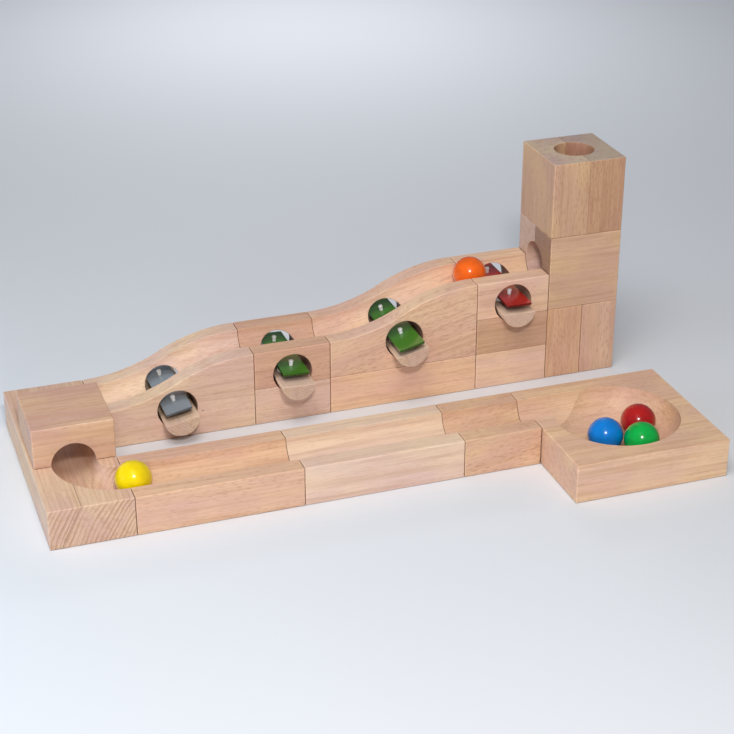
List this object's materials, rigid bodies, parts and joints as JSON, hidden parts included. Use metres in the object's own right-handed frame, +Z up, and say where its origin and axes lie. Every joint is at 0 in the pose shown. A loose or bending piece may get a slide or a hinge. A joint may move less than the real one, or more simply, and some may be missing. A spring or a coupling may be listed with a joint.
{
  "type": "marble run",
  "caption": "Wooden marble run: a drop tower feeds a sloping grooved track with chime bars, a covered U-turn and a level return channel into a catch bowl.",
  "frame": {"origin": "on the table, at the middle of the whole run's box", "axes": "+X along the track towards the drop tower, +Y to the back, away from the return row, +Z up"},
  "size_m": [0.5326, 0.2912, 0.1998],
  "materials": {
    "beech": "sanded and oiled beech, satin",
    "beech_cradle": "sanded pale beech",
    "felt": "white wool felt",
    "sleeve": "white soft sleeve",
    "nail": "bright plated steel",
    "bar_slate": "glossy slate grey lacquer on steel",
    "bar_green": "glossy green lacquer on steel",
    "bar_red": "glossy red lacquer on steel",
    "lacquer_orange": "glossy lacquered wooden ball",
    "lacquer_yellow": "glossy lacquered wooden ball",
    "lacquer_blue": "glossy lacquered wooden ball",
    "lacquer_green": "glossy lacquered wooden ball",
    "lacquer_red": "glossy lacquered wooden ball"
  },
  "bodies": {
    "track": {"tower_foot_left": "beech", "tower_foot_right": "beech", "high_chime_cube_lower_half": "beech", "high_chime_cube_upper_half": "beech", "low_chime_cube_lower_half": "beech", "low_chime_cube_upper_half": "beech", "high_slope": "beech", "low_slope": "beech", "spacer_short": "beech", "spacer_long": "beech", "turn_base": "beech", "channel_left": "beech", "channel_middle": "beech", "channel_short": "beech", "catch_bowl": "beech"},
    "tower_outlet": {"tower_outlet_front_half": "beech", "tower_outlet_rear_half": "beech"},
    "tower_top": {"tower_top_left_half": "beech", "tower_top_right_half": "beech"},
    "tunnel": {"tunnel_block": "beech"},
    "chime_low_slope": {"chime_low_slope_cradle": "beech_cradle", "chime_low_slope_pads": "felt", "chime_low_slope_bar": "bar_slate", "chime_low_slope_sleeves": "sleeve", "chime_low_slope_nails": "nail"},
    "chime_low_cube": {"chime_low_cube_cradle": "beech_cradle", "chime_low_cube_pads": "felt", "chime_low_cube_bar": "bar_green", "chime_low_cube_sleeves": "sleeve", "chime_low_cube_nails": "nail"},
    "chime_high_slope": {"chime_high_slope_cradle": "beech_cradle", "chime_high_slope_pads": "felt", "chime_high_slope_bar": "bar_green", "chime_high_slope_sleeves": "sleeve", "chime_high_slope_nails": "nail"},
    "chime_high_cube": {"chime_high_cube_cradle": "beech_cradle", "chime_high_cube_pads": "felt", "chime_high_cube_bar": "bar_red", "chime_high_cube_sleeves": "sleeve", "chime_high_cube_nails": "nail"},
    "marble_orange": {"marble_orange": "lacquer_orange"},
    "marble_yellow": {"marble_yellow": "lacquer_yellow"},
    "marble_blue": {"marble_blue": "lacquer_blue"},
    "marble_green": {"marble_green": "lacquer_green"},
    "marble_red": {"marble_red": "lacquer_red"}
  },
  "joints": [
    {"name": "outlet_lift", "type": "slide", "parent": "track", "child": "tower_outlet", "axis": [0, 0, 1], "range_m": [0, 0.08]},
    {"name": "top_lift", "type": "slide", "parent": "tower_outlet", "child": "tower_top", "axis": [0, 0, 1], "range_m": [0, 0.08]},
    {"name": "tunnel_lift", "type": "slide", "parent": "track", "child": "tunnel", "axis": [0, 0, 1], "range_m": [0, 0.06]},
    {"name": "chime_low_slope_slide", "type": "slide", "parent": "track", "child": "chime_low_slope", "axis": [0, 1, 0], "range_m": [-0.015, 0.11]},
    {"name": "chime_low_cube_slide", "type": "slide", "parent": "track", "child": "chime_low_cube", "axis": [0, 1, 0], "range_m": [-0.015, 0.11]},
    {"name": "chime_high_slope_slide", "type": "slide", "parent": "track", "child": "chime_high_slope", "axis": [0, 1, 0], "range_m": [-0.015, 0.11]},
    {"name": "chime_high_cube_slide", "type": "slide", "parent": "track", "child": "chime_high_cube", "axis": [0, 1, 0], "range_m": [-0.015, 0.11]},
    {"name": "marble_orange_roll", "type": "hinge", "parent": "track", "child": "marble_orange", "pos_m": [0.1332, 0.09413, -0.04163], "axis": [0, -1, 0], "range_deg": [0, 20]},
    {"name": "marble_yellow_roll", "type": "slide", "parent": "track", "child": "marble_yellow", "axis": [1, 0, 0], "range_m": [-0.005, 0.32]},
    {"name": "marble_blue_lift", "type": "slide", "parent": "track", "child": "marble_blue", "axis": [0, 0, 1], "range_m": [0, 0.06]},
    {"name": "marble_green_lift", "type": "slide", "parent": "track", "child": "marble_green", "axis": [0, 0, 1], "range_m": [0, 0.06]},
    {"name": "marble_red_lift", "type": "slide", "parent": "track", "child": "marble_red", "axis": [0, 0, 1], "range_m": [0, 0.06]}
  ]
}
